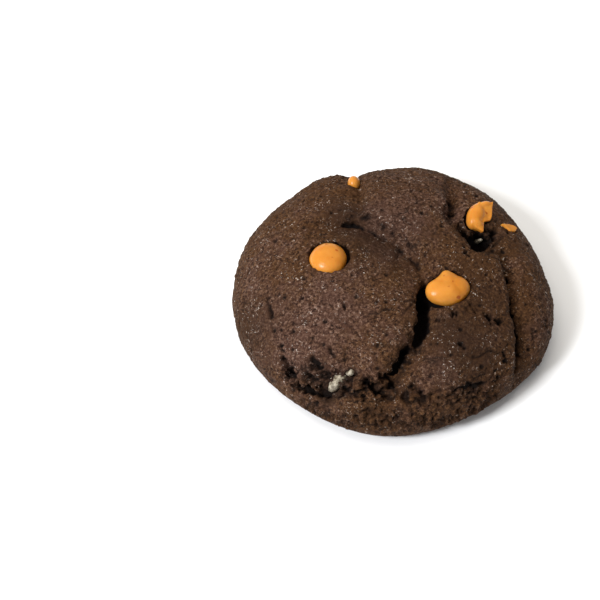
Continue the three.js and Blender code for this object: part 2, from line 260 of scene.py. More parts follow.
@dataclass(frozen=True)
class Dome:
    """The cookie's plain form: a low dome on a rounded foot, with an uneven round outline."""

    rim_radius: float = 42.0
    height: float = 24.0
    waist_height: float = 6.0
    foot_share: float = 0.9
    power: float = 2.4
    rim_waves: tuple[tuple[int, float, float], ...] = (
        (2, 0.009, 35.0),
        (3, 0.011, -51.0),
        (4, 0.019, -19.0),
        (5, 0.009, -14.0),
        (6, 0.0045, 27.0),
    )
    dome_end: float = 0.66 * math.pi
    foot_end: float = 0.75 * math.pi
    slope_step: float = 0.5
    farthest_move: float = 4.0

    def rim(self, bearing: Array) -> Array:
        """Radius of the outline at a bearing from +X towards +Y."""
        share = 1.0
        for count, height, crest in self.rim_waves:
            share = share + height * np.cos(count * (bearing - math.radians(crest)))
        return self.rim_radius * share

    def skin(self, directions: Array) -> Array:
        """Maps directions of a unit ball to the plain form.

        Args:
            directions: unit vectors, one row each.

        Returns:
            Points of the dome, the foot and the flat base, in millimetres.
        """
        polar = np.arccos(np.clip(directions[:, 2], -1.0, 1.0))
        bearing = np.arctan2(directions[:, 1], directions[:, 0])
        fall = np.clip(polar / self.dome_end, 0.0, 1.0) * math.pi / 2
        tuck = np.clip((polar - self.dome_end) / (self.foot_end - self.dome_end), 0.0, 1.0) * math.pi / 2
        inward = np.clip((math.pi - polar) / (math.pi - self.foot_end), 0.0, 1.0)
        on_dome = polar < self.dome_end
        on_base = polar >= self.foot_end
        dome_share = np.sin(fall) ** (2 / self.power)
        foot_share = self.foot_share + (1 - self.foot_share) * np.cos(tuck)
        share = np.where(on_dome, dome_share, np.where(on_base, self.foot_share * inward, foot_share))
        dome_level = self.waist_height + (self.height - self.waist_height) * np.cos(fall)
        foot_level = self.waist_height * (1 - np.sin(tuck))
        level = np.where(on_dome, dome_level, np.where(on_base, 0.0, foot_level))
        radius = share * self.rim(bearing)
        return np.stack([radius * np.cos(bearing), radius * np.sin(bearing), level], axis=1)

    def crust(self, plan: Array) -> Array:
        """Points of the plain dome above plan positions."""
        bearing = np.arctan2(plan[:, 1], plan[:, 0])
        share = np.minimum(1.0, np.hypot(plan[:, 0], plan[:, 1]) / self.rim(bearing))
        level = self.waist_height + (self.height - self.waist_height) * np.sqrt(1 - share**self.power)
        return np.column_stack([plan[:, 0], plan[:, 1], level])

    def crust_point(self, at: Pair) -> Array:
        """The point of the plain dome above one plan position."""
        return self.crust(np.array([at]))[0]

    def crust_path(self, plan: Plan) -> Array:
        """A smooth line on the plain dome above plan points."""
        return self.crust(smooth_path(plan))

    def depth(self, points: Array) -> Array:
        """How deep points lie under the plain dome, square to it.

        Args:
            points: places in millimetres, one row each.

        Returns:
            One depth a point, negative above the dome.
        """
        inner_share = 0.98
        plan = points[:, :2]
        level = self.crust(plan)[:, 2]
        run = (1 - inner_share) * np.linalg.norm(plan, axis=1) + 1e-6
        climb = self.crust(plan * inner_share)[:, 2] - level
        return (level - points[:, 2]) * run / np.hypot(run, climb)

    def surface(self, points: Array) -> Array:
        """Moves places that are a little under or over the dome back to it.

        Args:
            points: places in millimetres, one row each.

        Returns:
            Points on the dome, or as near to it as the farthest move allows.
        """
        step = self.slope_step
        plan = points[:, :2]
        slopes = [
            (self.crust(plan + offset)[:, 2] - self.crust(plan - offset)[:, 2]) / (2 * step)
            for offset in (np.array([step, 0.0]), np.array([0.0, step]))
        ]
        outward = np.column_stack([-slopes[0], -slopes[1], np.ones(len(points))])
        outward /= np.linalg.norm(outward, axis=1, keepdims=True)
        move = np.clip(self.depth(points), -self.farthest_move, self.farthest_move)
        return points + outward * move[:, None]

    def normal(self, at: Pair) -> Vector:
        """Outward normal of the plain dome above a plan position."""
        step = self.slope_step
        offsets = np.array([[step, 0.0], [-step, 0.0], [0.0, step], [0.0, -step]])
        right, left, back, front = self.crust(np.array(at) + offsets)
        return Vector(np.cross(right - left, back - front)).normalized()


@dataclass(frozen=True)
class Spot:
    """An amount that fades out round a plan position: a rise of the crust, a darker patch or a haze."""

    at: Pair
    amount: float
    spread: float

    def field(self, points: Array, dome: Dome) -> Array:
        """The amount at each point of the dome."""
        away = np.linalg.norm(points - dome.crust_point(self.at), axis=1)
        return self.amount * np.exp(-((away / self.spread) ** 2))


@dataclass(frozen=True)
class Seam:
    """A crease where two plates of crust roll down to each other, the left one a step higher."""

    plan: Plan
    depth: float
    width: float
    roll: float
    roll_left: float
    roll_right: float
    step: float = 0.0
    step_reach: float = 8.0
    step_blend: float = 0.5
    taper: float = 0.12
    patchy: float = 0.0
    patch_length: float = 4.0
    core_power: float = 1.4

    def dip(self, points: Array, dome: Dome) -> Relief:
        """How far the crust falls towards the seam and how its plates are set off.

        Args:
            points: places on the plain dome, in millimetres.
            dome: the plain form that the seam lies on.

        Returns:
            One depth and one step a point, in millimetres.
        """
        near = nearness(points, dome.crust_path(self.plan))
        ends = near.ends(self.taper)
        roll_width = np.where(near.side > 0, self.roll_left, self.roll_right)
        uneven = 1 + self.patchy * bump_field(points, self.patch_length, 2, Pattern.SEAM)
        core = self.depth * ends * uneven * np.exp(-((near.distance / self.width) ** self.core_power))
        roll = self.roll * np.exp(-((near.distance / roll_width) ** 2))
        sides = np.tanh(near.side * near.distance / self.step_blend)
        step = self.step / 2 * sides * ends * np.exp(-((near.distance / self.step_reach) ** 2))
        return core + roll, step


@dataclass(frozen=True)
class Crack:
    """An open crack down to a floor, which may lean under the crust to its left."""

    plan: Plan
    half_width: float
    widest_at: float
    floor: float
    lean: float = 0.0
    ragged: float = 0.5
    ragged_length: float = 2.0
    least_half_width: float = 0.05
    wall_power: float = 0.25

    def carve(self, points: Array, guide: Array) -> Array:
        """How the crack moves the crust.

        Args:
            points: places on the crust, in millimetres.
            guide: the same places with the wander that makes the edges ragged.

        Returns:
            One movement a point, in millimetres.
        """
        near = nearness(guide[:, :2], smooth_path(self.plan))
        skew = math.log(0.5) / math.log(self.widest_at)
        swell = np.clip(np.sin(math.pi * near.along**skew), 0.0, 1.0)
        torn = 1 + self.ragged * bump_field(guide, self.ragged_length, 2, Pattern.CRACK)
        half = np.maximum(self.half_width * swell * torn, self.least_half_width)
        inside = np.clip(1 - (near.distance / half) ** 2, 0.0, 1.0) ** self.wall_power
        fall = np.maximum(0.0, points[:, 2] - self.floor) * np.sqrt(swell) * inside
        return np.column_stack([near.across * (self.lean * fall)[:, None], -fall])


@dataclass(frozen=True)
class Crag:
    """A stretch of crust that has come apart into jagged crumbs, dark with painted shade in the holes
    between them.
    """

    plan: Plan
    reach: float
    depth: float
    rough: float
    dark: float
    crumb: float = 1.5
    stretch: Triple = (1.0, 0.55, 0.55)
    taper: float = 0.06
    edge: Pair = (1.25, 0.5)
    edge_wave: float = 0.7
    edge_wave_length: float = 4.0
    least_reach: float = 0.2
    tear: float = 0.45
    tear_length: float = 1.6
    coarse_rise: float = 1.7
    fine_rise: float = 0.9
    fine_shift: float = 5.0
    joint_drop: float = 0.35
    joint_width: float = 0.35
    highest: float = 0.7
    dark_levels: Pair = (-0.1, -0.55)

    def relief(self, points: Array, dome: Dome) -> Relief:
        """How the crumbs stand, and the painted shade in the holes between them.

        Args:
            points: places on the crust, in millimetres.
            dome: the plain form that the stretch lies on.

        Returns:
            One rise a point in millimetres, and the painted shade of the place from 0 to 1.
        """
        rise = np.zeros(len(points))
        dark = np.zeros(len(points))
        near = nearness(points, dome.crust_path(self.plan))
        close = near.distance < 2 * self.reach
        torn = points[close]
        wave = 1 + self.edge_wave * bump_field(torn, self.edge_wave_length, 3, self.reach)
        reach = np.maximum(self.reach * wave, self.least_reach)
        share = smoothstep(near.distance[close] / reach, *self.edge) * near.ends(self.taper)[close]
        drawn = (torn + wander(torn, self.tear, self.tear_length, 2)) * np.array(self.stretch)
        coarse = cells(drawn, self.crumb, self.reach)
        fine = cells(drawn, self.crumb / 2, self.reach + self.fine_shift)
        height = self.coarse_rise * (coarse.pick - 0.5) + self.fine_rise * (fine.pick - 0.5)
        height = height - self.joint_drop * coarse.seams(self.joint_width)
        rise[close] = share * (self.rough * np.minimum(height, self.highest) - self.depth)
        # Painted shade in the holes between the crumbs
        dark[close] = share * self.dark * smoothstep(height, *self.dark_levels)
        return rise, dark


@dataclass(frozen=True)
class Pit:
    """A ragged hole in the crust, drawn out along a short line and dark with painted shade."""

    start: Pair
    end: Pair
    radius: float
    depth: float
    dark: float = 0.97
    edge: Pair = (1.25, 0.6)
    tear: float = 0.55
    tear_length: float = 1.3
    ragged: float = 0.8
    ragged_length: float = 1.5
    least_share: float = 0.3
    steps: int = 9

    def relief(self, points: Array, dome: Dome) -> Relief:
        """How far the hole goes down and how dark it is.

        Args:
            points: places on the crust, in millimetres.
            dome: the plain form that the hole lies on.

        Returns:
            One rise a point in millimetres, and the painted shade of the place from 0 to 1.
        """
        steps = np.linspace(0.0, 1.0, self.steps)[:, None]
        line = dome.crust(np.array(self.start) * (1 - steps) + np.array(self.end) * steps)
        close = nearness(points, line).distance < 3 * self.radius + 1
        torn = points[close]
        distance = nearness(torn + wander(torn, self.tear, self.tear_length, 2), line).distance
        wave = 1 + self.ragged * bump_field(torn, self.ragged_length, 2, Pattern.PIT)
        ragged = np.maximum(wave, self.least_share)
        share = np.zeros(len(points))
        share[close] = smoothstep(distance / (self.radius * ragged), *self.edge)
        return -self.depth * share, self.dark * share


@dataclass(frozen=True)
class Sand:
    """The sound crust's own relief: soft lumps, sandy grains, pores and hairline cracks, with painted shade
    in the pores and hairlines.
    """

    lump_rise: float = 0.28
    lump_length: float = 7.0
    small_lump_rise: float = 0.16
    small_lump_length: float = 2.0
    grain_size: float = 0.95
    grain_rise: float = 0.32
    grain_level: float = 0.45
    grain_variety: float = 0.16
    pore_spacing: float = 2.6
    pore_least: float = 0.15
    pore_variety: float = 0.6
    pore_edge: Pair = (1.25, 0.6)
    pore_depth: float = 0.5
    pore_dark: float = 0.9
    plate_size: float = 12.0
    plate_wander: tuple[float, float, int] = (1.0, 5.0, 3)
    hairline_width: float = 0.5
    hairline_depth: float = 0.35
    hairline_dark: float = 0.7
    hairline_patches: Pair = (0.05, 0.4)
    hairline_patch_length: float = 8.0

    def relief(self, points: Array) -> Relief:
        """How the sound crust stands, and the painted shade in its pores and hairlines.

        Args:
            points: places on the crust, in millimetres.

        Returns:
            One rise a point in millimetres, and the painted shade of the place from 0 to 1.
        """
        lumps = self.lump_rise * bump_field(points, self.lump_length, 2, Pattern.LUMP)
        small = self.small_lump_rise * bump_field(points, self.small_lump_length, 2, Pattern.SMALL_LUMP)
        grains = cells(points, self.grain_size, Pattern.GRAIN)
        sandy = self.grain_rise * (self.grain_level - grains.nearest)
        sandy = sandy + self.grain_variety * (grains.pick - 0.5)
        holes = cells(points, self.pore_spacing, Pattern.PORE)
        pore_radius = self.pore_least + self.pore_variety * holes.pick**2
        pores = smoothstep(holes.nearest / pore_radius, *self.pore_edge)
        plates = cells(points + wander(points, *self.plate_wander), self.plate_size, Pattern.PLATE)
        patches = bump_field(points, self.hairline_patch_length, 2, Pattern.HAIRLINE)
        hairlines = plates.seams(self.hairline_width) * smoothstep(patches, *self.hairline_patches)
        rise = lumps + small + sandy - self.pore_depth * pores - self.hairline_depth * hairlines
        return rise, np.maximum(self.pore_dark * pores, self.hairline_dark * hairlines)


def add_ball(shape: bmesh.types.BMesh, mould: Callable[[Array], Array], subdivisions: int) -> None:
    """Adds a ball to a shape and draws it out to its own form.

    Args:
        shape: the shape that grows.
        mould: turns unit directions into points in millimetres.
        subdivisions: how often the twenty faces of the ball are split.
    """
    made = bmesh.ops.create_icosphere(shape, subdivisions=subdivisions, radius=1.0)["verts"]
    places = mould(np.array([vertex.co for vertex in made])) * MM
    for vertex, place in zip(made, places):
        vertex.co = place


@dataclass(frozen=True)
class Blob:
    """A rounded lump of a chip, in the chip's own axes: along the crust and outward."""

    at: Triple
    half: Triple
    turn: float = 0.0
    fineness: int = 5

    def spin(self) -> Array:
        """The lump's turn about the outward axis."""
        return np.array(Matrix.Rotation(math.radians(self.turn), 3, "Z"))

    def points(self, directions: Array) -> Array:
        """Points of the lump for directions of a unit ball, in millimetres."""
        return (directions * np.array(self.half)) @ self.spin().T + np.array(self.at)

    def add(self, shape: bmesh.types.BMesh) -> None:
        """Adds the lump to a shape."""
        add_ball(shape, self.points, self.fineness)

    def reach(self, points: Array) -> Array:
        """Distance along the crust from the lump's outline, negative inside it."""
        own = (points - np.array(self.at)) @ self.spin()
        ring = np.hypot(own[:, 0] / self.half[0], own[:, 1] / self.half[1])
        return (ring - 1) * min(self.half[:2])


@dataclass(frozen=True)
class Slab:
    """A flat lump of a chip with its own outline, between two levels in the chip's own axes."""

    outline: Plan
    low: float
    high: float

    def add(self, shape: bmesh.types.BMesh) -> None:
        """Adds the slab to a shape."""
        under = [shape.verts.new((x * MM, y * MM, self.low * MM)) for x, y in self.outline]
        over = [shape.verts.new((x * MM, y * MM, self.high * MM)) for x, y in self.outline]
        shape.faces.new(under[::-1])
        shape.faces.new(over)
        for index in range(len(under)):
            shape.faces.new((under[index - 1], under[index], over[index], over[index - 1]))

    def reach(self, points: Array) -> Array:
        """Distance along the crust from the slab's outline.

        Args:
            points: places in the chip's own axes, in millimetres.

        Returns:
            One distance a point, negative inside the outline.
        """
        knots = np.array(self.outline)
        distance = np.full(len(points), np.inf)
        inside = np.zeros(len(points), dtype=bool)
        for start, end in zip(np.roll(knots, 1, axis=0), knots):
            along = end - start
            away = points[:, :2] - start
            share = np.clip(away @ along / (along @ along), 0.0, 1.0)
            distance = np.minimum(distance, np.linalg.norm(away - share[:, None] * along, axis=1))
            passes = (start[1] > points[:, 1]) != (end[1] > points[:, 1])
            edge = start[0] + along[0] * away[:, 1] / (along[1] or 1.0)
            inside ^= passes & (points[:, 0] < edge)
        return np.where(inside, -distance, distance)


@dataclass(frozen=True)
class Fold:
    """A rounded rise or dent in a chip's outer face, in the chip's own axes."""

    at: Pair
    rise: float
    spread: float

    def lift(self, points: Array) -> Array:
        """How far the fold lifts points of the chip."""
        away = np.linalg.norm(points[:, :2] - np.array(self.at), axis=1)
        return self.rise * np.exp(-((away / self.spread) ** 2))


def set_inputs(node: bpy.types.Node, values: dict[str, float | Sequence[float]]) -> None:
    """Sets fixed values of a node's inputs by name."""
    for name, value in values.items():
        node.inputs[name].default_value = value


class NodeKit:
    """Makes one material and adds the nodes that the finishes share."""

    def __init__(self, name: str) -> None:
        """Starts a material with its shader.

        Args:
            name: the material's name.
        """
        self.material = bpy.data.materials.new(name)
        self.material.use_nodes = True
        self.tree = self.material.node_tree
        self.shader = self.tree.nodes["Principled BSDF"]

    def add(self, kind: str) -> bpy.types.Node:
        """Adds a node of one kind."""
        return self.tree.nodes.new(kind)

    def link(self, source: Socket, target: Socket) -> None:
        """Joins an output to an input."""
        self.tree.links.new(source, target)

    def place(self) -> Socket:
        """Where each point lies on the object, in metres."""
        return self.add("ShaderNodeTexCoord").outputs["Object"]

    def noise(self, place: Socket, scale: float, detail: float, rough: float, twist: float = 0.0) -> Socket:
        """Noise over the object.

        Args:
            place: where each point lies, in metres.
            scale: waves a metre.
            detail: how many finer layers there are.
            rough: how strong the finer layers are.
            twist: how much the noise bends itself.

        Returns:
            A number around 0.5.
        """
        node = self.add("ShaderNodeTexNoise")
        set_inputs(node, {"Scale": scale, "Detail": detail, "Roughness": rough, "Distortion": twist})
        self.link(place, node.inputs["Vector"])
        return node.outputs["Fac"]

    def attribute(self, layer: Layer) -> Socket:
        """A number that the mesh holds at each vertex."""
        node = self.add("ShaderNodeAttribute")
        node.attribute_name = layer.value
        return node.outputs["Fac"]

    def ramp(self, factor: Socket, *stops: tuple[float, Colour]) -> Socket:
        """Colour that goes from stop to stop as a factor grows.

        Args:
            factor: the number that picks the colour.
            stops: places and colours, in rising order.

        Returns:
            The colour.
        """
        node = self.add("ShaderNodeValToRGB")
        elements = node.color_ramp.elements
        while len(elements) < len(stops):
            elements.new(1.0)
        for element, (place, colour) in zip(elements, stops):
            element.position = place
            element.color = colour
        self.link(factor, node.inputs["Fac"])
        return node.outputs["Color"]

    def mix(self, factor: Socket, base: Socket, over: Socket | Colour) -> Socket:
        """Lays a colour over another by a factor.

        Args:
            factor: how much of the upper colour shows.
            base: the lower colour.
            over: the upper colour, from a node or fixed.

        Returns:
            The mixed colour.
        """
        node = self.add("ShaderNodeMix")
        node.data_type = "RGBA"
        self.link(factor, node.inputs["Factor"])
        self.link(base, node.inputs[6])
        if isinstance(over, tuple):
            node.inputs[7].default_value = over
        else:
            self.link(over, node.inputs[7])
        return node.outputs[2]

    def bump(self, height: Socket, strength: float, distance: float, under: Socket | None = None) -> Socket:
        """Bumps from a height.

        Args:
            height: the number that rises and falls.
            strength: how much of the bump shows.
            distance: height of a full bump in metres.
            under: an earlier bump that lies below this one.

        Returns:
            The bumped normal.
        """
        node = self.add("ShaderNodeBump")
        set_inputs(node, {"Strength": strength, "Distance": distance})
        self.link(height, node.inputs["Height"])
        if under is not None:
            self.link(under, node.inputs["Normal"])
        return node.outputs["Normal"]


@dataclass(frozen=True)
class DoughFinish:
    """Baked cocoa crust: dark brown and sandy, with painted glints on fine pale crystals, painted sheen, and
    painted shade in its hollows, on some plates and low on the side.
    """

    # Red-brown grain; its pale top stop carries the painted sheen
    shade: Colour = (0.012, 0.0050, 0.0032, 1.0)
    brown: Colour = (0.074, 0.0350, 0.0228, 1.0)
    pale: Colour = (0.230, 0.1400, 0.1000, 1.0)
    # Olive grain, where no painted sheen lies
    olive_shade: Colour = (0.010, 0.0044, 0.0020, 1.0)
    olive: Colour = (0.060, 0.0252, 0.0090, 1.0)
    olive_pale: Colour = (0.152, 0.0750, 0.0310, 1.0)
    # Nearly black painted shade for hollows, cracks and the gaps round the chips
    dark: Colour = (0.0030, 0.0013, 0.0008, 1.0)
    # Painted shade on plates that face away from the lights, in recesses and low on the side
    painted_shade: Colour = (0.026, 0.0115, 0.0055, 1.0)
    # Painted glints: bright specks that stand in for sparkles of light on sugar crystals
    painted_glint: Colour = (0.60, 0.53, 0.47, 1.0)
    grain_stops: Triple = (0.37, 0.51, 0.68)
    grain_scale: float = 1500.0
    fine_scale: float = 3800.0
    calm_scale: float = 260.0
    spread_scale: float = 170.0
    roughness: float = 0.75
    gloss: float = 0.12

    def material(self) -> bpy.types.Material:
        """Builds the crust's material."""
        kit = NodeKit("baked_cocoa_crust")
        place = kit.place()
        # The grain's dark stops lie in the hollows of its bump and its pale stops on the crests: painted
        # micro-shade and light over the grain
        grain = kit.noise(place, self.grain_scale, 4.0, 0.68, 0.5)
        low = kit.ramp(grain, *zip(self.grain_stops, (self.olive_shade, self.olive, self.olive_pale)))
        high = kit.ramp(grain, *zip(self.grain_stops, (self.shade, self.brown, self.pale)))
        # Painted sheen: red-brown grain with paler, greyer stops where the layer is high, olive grain where
        # it is low
        grainy = kit.mix(kit.attribute(Layer.SHEEN_TINT), low, high)
        plain = kit.ramp(kit.attribute(Layer.SHEEN_TINT), (0.0, self.olive), (1.0, self.brown))
        calm = kit.ramp(kit.noise(place, self.calm_scale, 2.0, 0.6), (0.42, BLACK), (0.68, CALM))
        # Painted shade laid over the grain
        crust = kit.mix(kit.attribute(Layer.PAINTED_SHADE), kit.mix(calm, grainy, plain), self.painted_shade)
        # Painted glints, scattered in clusters over the crust
        spread = kit.ramp(kit.noise(place, self.spread_scale, 2.0, 0.6), (0.40, BLACK), (0.62, WHITE))
        glint = kit.mix(spread, crust, self.painted_glint)
        sparks = kit.noise(place, self.grain_scale, 2.0, 0.6, 1.5)
        glints = kit.ramp(sparks, (0.65, BLACK), (0.72, WHITE))
        # Painted shade in hollows, cracks and round the chips
        colour = kit.mix(kit.attribute(Layer.HOLLOW_SHADE), kit.mix(glints, crust, glint), self.dark)
        shader = kit.shader
        kit.link(colour, shader.inputs["Base Color"])
        set_inputs(shader, {"Roughness": self.roughness, "Specular IOR Level": self.gloss})
        coarse = kit.bump(grain, 0.9, 0.0006)
        fine = kit.bump(kit.noise(place, self.fine_scale, 2.0, 0.5), 0.5, 0.00015, coarse)
        kit.link(fine, shader.inputs["Normal"])
        return kit.material


@dataclass(frozen=True)
class ChipFinish:
    """Smooth orange confectionery with a soft gloss and a few brown specks."""

    orange: Colour = (0.55, 0.221, 0.032, 1.0)
    deep: Colour = (0.47, 0.165, 0.016, 1.0)
    speck: Colour = (0.34, 0.085, 0.010, 1.0)
    shade_scale: float = 180.0
    speck_scale: float = 560.0
    dimple_scale: float = 420.0
    roughness: float = 0.27
    gloss: float = 0.25
    scatter: float = 0.3
    scatter_depths: Triple = (0.0016, 0.0006, 0.0002)

    def material(self) -> bpy.types.Material:
        """Builds the chips' material."""
        kit = NodeKit("orange_chip")
        place = kit.place()
        body = kit.ramp(kit.noise(place, self.shade_scale, 2.0, 0.5), (0.35, self.deep), (0.62, self.orange))
        specks = kit.ramp(kit.noise(place, self.speck_scale, 1.0, 0.5), (0.70, BLACK), (0.75, WHITE))
        shader = kit.shader
        kit.link(kit.mix(specks, body, self.speck), shader.inputs["Base Color"])
        set_inputs(shader, {"Roughness": self.roughness, "Specular IOR Level": self.gloss})
        set_inputs(shader, {"Subsurface Weight": self.scatter, "Subsurface Radius": self.scatter_depths})
        set_inputs(shader, {"Subsurface Scale": 1.0})
        dimples = kit.bump(kit.noise(place, self.dimple_scale, 3.0, 0.5), 0.4, 0.0005)
        kit.link(dimples, shader.inputs["Normal"])
        return kit.material


@dataclass(frozen=True)
class FillingFinish:
    """Pale, moist, grainy cream."""

    cream: Colour = (0.37, 0.325, 0.245, 1.0)
    shade: Colour = (0.10, 0.078, 0.050, 1.0)
    grain_scale: float = 1100.0
    roughness: float = 0.42

    def material(self) -> bpy.types.Material:
        """Builds the filling's material."""
        kit = NodeKit("pale_filling")
        place = kit.place()
        grain = kit.noise(place, self.grain_scale, 3.0, 0.6)
        shader = kit.shader
        kit.link(kit.ramp(grain, (0.41, self.shade), (0.62, self.cream)), shader.inputs["Base Color"])
        set_inputs(shader, {"Roughness": self.roughness})
        kit.link(kit.bump(grain, 0.6, 0.0004), shader.inputs["Normal"])
        return kit.material


def vertices(mesh: bpy.types.Mesh) -> Array:
    """Places of a mesh's vertices, one row each, in millimetres."""
    places = np.empty(len(mesh.vertices) * 3)
    mesh.vertices.foreach_get("co", places)
    return places.reshape(-1, 3) / MM


def place_vertices(mesh: bpy.types.Mesh, places: Array) -> None:
    """Moves a mesh's vertices to new places in millimetres."""
    mesh.vertices.foreach_set("co", np.ascontiguousarray(places * MM, dtype=np.float32).ravel())
    mesh.update()


def vertex_normals(mesh: bpy.types.Mesh) -> Array:
    """Outward normals at a mesh's vertices, one row each."""
    normals = np.empty(len(mesh.vertices) * 3, dtype=np.float32)
    mesh.vertex_normals.foreach_get("vector", normals)
    return normals.reshape(-1, 3).astype(float)


def new_piece(name: str, shape: bmesh.types.BMesh) -> bpy.types.Object:
    """Turns a shape into an object of the scene.

    Args:
        name: the object's name.
        shape: the shape, which is used up.

    Returns:
        The new object.
    """
    mesh = bpy.data.meshes.new(name)
    shape.to_mesh(mesh)
    shape.free()
    piece = bpy.data.objects.new(name, mesh)
    bpy.context.scene.collection.objects.link(piece)
    return piece


def remesh(piece: bpy.types.Object, voxel: float, rounding: int = 0) -> None:
    """Rebuilds a piece's skin as even small faces, which fuses what overlaps.

    Args:
        piece: the piece, whose mesh is replaced.
        voxel: size of a face in millimetres.
        rounding: how often the new skin is smoothed.
    """
    even = piece.modifiers.new("even_faces", "REMESH")
    even.mode = "VOXEL"
    even.voxel_size = voxel * MM
    soften = piece.modifiers.new("soften", "SMOOTH")
    soften.iterations = rounding
    bpy.context.view_layer.update()
    ready = piece.evaluated_get(bpy.context.evaluated_depsgraph_get())
    fresh = bpy.data.meshes.new_from_object(ready)
    old = piece.data
    piece.modifiers.clear()
    piece.data = fresh
    bpy.data.meshes.remove(old)


def flatten_base(mesh: bpy.types.Mesh, below: float) -> None:
    """Joins the faces of a flat base into one.

    Args:
        mesh: a mesh whose base lies at level 0.
        below: the level that the base's faces lie under, in millimetres.
    """
    shape = bmesh.new()
    shape.from_mesh(mesh)
    base = [face for face in shape.faces if max(vertex.co.z for vertex in face.verts) < below * MM]
    bmesh.ops.dissolve_faces(shape, faces=base)
    shape.to_mesh(mesh)
    shape.free()


def store(mesh: bpy.types.Mesh, layer: Layer, values: Array) -> None:
    """Keeps one number a vertex on a mesh, for its finish."""
    numbers = mesh.attributes.new(layer.value, "FLOAT", "POINT")
    numbers.data.foreach_set("value", np.clip(values, 0.0, 1.0).astype(np.float32))


def put_in_frame(piece: bpy.types.Object, material: bpy.types.Material, node: str) -> None:
    """Finishes a piece and ties it to the frame.

    Args:
        piece: the new piece.
        material: its finish.
        node: the solid that the piece stands for.
    """
    piece.data.materials.clear()
    piece.data.materials.append(material)
    piece.data.shade_smooth()
    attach(piece, BODY)
    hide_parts(node)
    triangles = sum(len(face.vertices) - 2 for face in piece.data.polygons)
    LOG.info("%s: %d triangles, stands for %s", piece.name, triangles, node)


@dataclass
class Chip:
    """A baking chip: soft lumps fused into one, in a socket in the crust."""

    node: str
    at: Pair
    lumps: tuple[Blob | Slab, ...]
    tilt: float = 0.0
    folds: tuple[Fold, ...] = ()
    socket_shift: Pair = (0.0, 0.0)
    socket_gap: float = 0.4
    socket_depth: float = 2.4
    socket_room: float = 14.0
    socket_wall: Pair = (0.3, -0.5)
    ragged: float = 0.5
    ragged_length: float = 2.0
    voxel: float = 0.22
    rounding: int = 8
    unevenness: float = 0.1
    uneven_length: float = 3.0
    facing: float = 0.6

    def build(self, dome: Dome) -> bpy.types.Object:
        """Makes the chip's mesh where it lies.

        Args:
            dome: the plain form that it is sunk in.

        Returns:
            The chip.
        """
        shape = bmesh.new()
        for lump in self.lumps:
            lump.add(shape)
        piece = new_piece(f"{self.node}_dressed", shape)
        remesh(piece, self.voxel, self.rounding)
        own = vertices(piece.data)
        normals = vertex_normals(piece.data)
        uneven = self.unevenness * bump_field(own, self.uneven_length, 2, self.at[0])
        for fold in self.folds:
            uneven = uneven + fold.lift(own) * smoothstep(normals[:, 2], 0.0, self.facing)
        own = own + normals * uneven[:, None]
        place_vertices(piece.data, own @ self.lean(dome).T + dome.crust_point(self.at))
        return piece

    def lean(self, dome: Dome) -> Array:
        """Rotation from the chip's own axes to the cookie's."""
        upright = Vector((0, 0, 1)).rotation_difference(dome.normal(self.at)).to_matrix()
        return np.array(upright @ Matrix.Rotation(math.radians(self.tilt), 3, "X"))

    def socket(self, points: Array, dome: Dome) -> Array:
        """How much each place of the crust belongs to the chip's socket.

        Args:
            points: places on the crust, in millimetres.
            dome: the plain form that the chip is sunk in.

        Returns:
            Numbers from 0 outside to 1 under the chip.
        """
        away = points - dome.crust_point(self.at)
        close = np.linalg.norm(away, axis=1) < self.socket_room
        own = away[close] @ self.lean(dome) - np.array([*self.socket_shift, 0.0])
        reach = np.min([lump.reach(own) for lump in self.lumps], axis=0)
        torn = self.ragged * bump_field(points[close], self.ragged_length, 2, Pattern.SOCKET)
        share = np.zeros(len(points))
        share[close] = smoothstep(reach - self.socket_gap + torn, *self.socket_wall)
        return share

    def dress(self, piece: bpy.types.Object, finish: bpy.types.Material) -> None:
        """Gives the chip its finish and its place in the frame."""
        put_in_frame(piece, finish, self.node)


@dataclass(frozen=True)
class Tongue:
    """Filling that reaches the crust from the lens in the middle, as a flat finger."""

    root: Triple
    tip: Pair
    half_width: float
    half_height: float
    slant: Triple
    proud: float
    bluntness: float = 0.45
    crater_depth: float = 0.3
    crater_width: float = 0.7
    crater_edge: Pair = (2.0, 1.0)
    # Painted shade round where the filling breaks through
    crater_dark: float = 0.6

    def end(self, dome: Dome) -> Vector:
        """Where the finger ends: proud of the crust, or under it if that is negative."""
        return Vector(dome.crust_point(self.tip)) + dome.normal(self.tip) * self.proud

    def points(self, directions: Array, dome: Dome) -> Array:
        """Points of the finger for directions of a unit ball.

        Args:
            directions: unit vectors, one row each.
            dome: the plain form that the finger breaks through.

        Returns:
            Points in millimetres.
        """
        start = Vector(self.root)
        end = self.end(dome)
        along = (end - start).normalized()
        flat = along.cross(Vector(self.slant)).normalized()
        turn = np.array(Matrix((flat.cross(along), flat, along)))
        blunt = np.sign(directions[:, 2]) * np.abs(directions[:, 2]) ** self.bluntness
        own = np.column_stack([
            directions[:, 0] * self.half_width,
            directions[:, 1] * self.half_height,
            blunt * (end - start).length / 2,
        ])
        return own @ turn + np.array((start + end) / 2)

    def relief(self, points: Array, dome: Dome) -> Relief:
        """How the finger breaks the crust open.

        Args:
            points: places on the crust, in millimetres.
            dome: the plain form that the finger breaks through.

        Returns:
            One rise a point in millimetres, and the painted shade of the place from 0 to 1.
        """
        wide = Vector(self.slant).normalized() * self.half_width * self.crater_width
        ends = np.array([self.end(dome) - wide, self.end(dome), self.end(dome) + wide])
        share = smoothstep(nearness(points, ends).distance / self.half_height, *self.crater_edge)
        return -self.crater_depth * share, self.crater_dark * share


